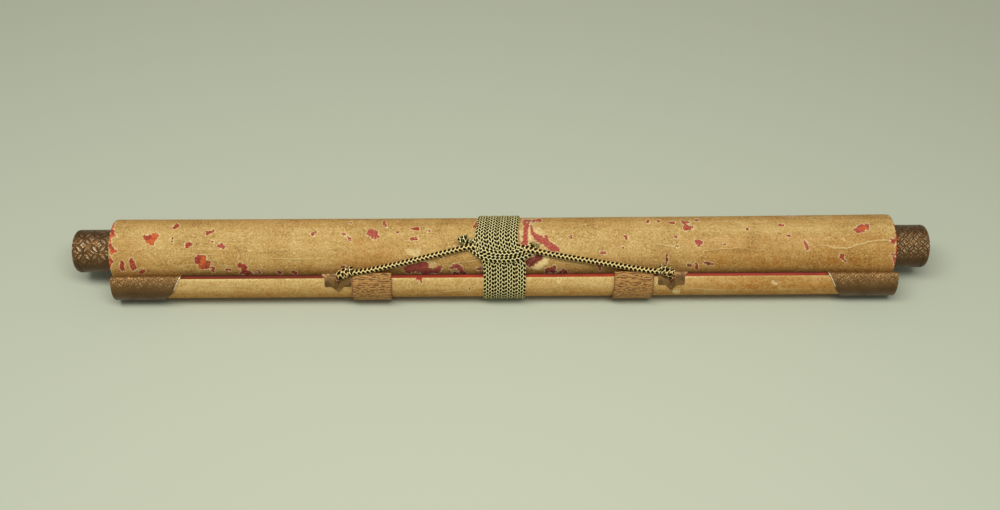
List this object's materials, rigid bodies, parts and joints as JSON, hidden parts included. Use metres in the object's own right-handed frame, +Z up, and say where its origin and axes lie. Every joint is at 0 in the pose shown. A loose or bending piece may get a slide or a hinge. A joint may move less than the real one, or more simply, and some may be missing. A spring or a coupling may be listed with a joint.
{
  "type": "paper scroll",
  "caption": "Rolled hanging scroll of backed paper with a half-round top stave, metal roller knobs and stave caps, tied up with a braided cord.",
  "frame": {"origin": "on the table under the middle of the whole part's box", "axes": "+X along the scroll with the shorter knob at +X, -Y towards the stave side, +Z up off the table"},
  "size_m": [0.6, 0.0578, 0.0502],
  "materials": {
    "mount_paper": "matt, slightly soiled",
    "rod_wood": "plain planed wood",
    "stave_wood": "plain planed wood",
    "knob_brass": "aged, softly polished",
    "cap_brass": "engraved and aged",
    "strip_fabric": "woven silk",
    "plate_brass": "dull, aged",
    "eye_brass": "worn bright wire",
    "hanging_braid": "two-colour braid",
    "wrap_braid": "two-colour flat braid"
  },
  "bodies": {
    "root": {"rolled_sheet": "mount_paper", "roller_rod": "rod_wood", "top_stave": "stave_wood", "left_roller_knob": "knob_brass", "right_roller_knob": "knob_brass", "left_stave_cap": "cap_brass", "right_stave_cap": "cap_brass", "left_hanging_strip": "strip_fabric", "right_hanging_strip": "strip_fabric", "left_eye_plate": "plate_brass", "right_eye_plate": "plate_brass", "left_cord_eye": "eye_brass", "right_cord_eye": "eye_brass", "hanging_cord": "hanging_braid", "left_end_knot": "hanging_braid", "right_end_knot": "hanging_braid", "wrap_cord": "wrap_braid", "wrap_cord_loop": "wrap_braid", "wrap_cord_knot": "wrap_braid"}
  },
  "joints": []
}
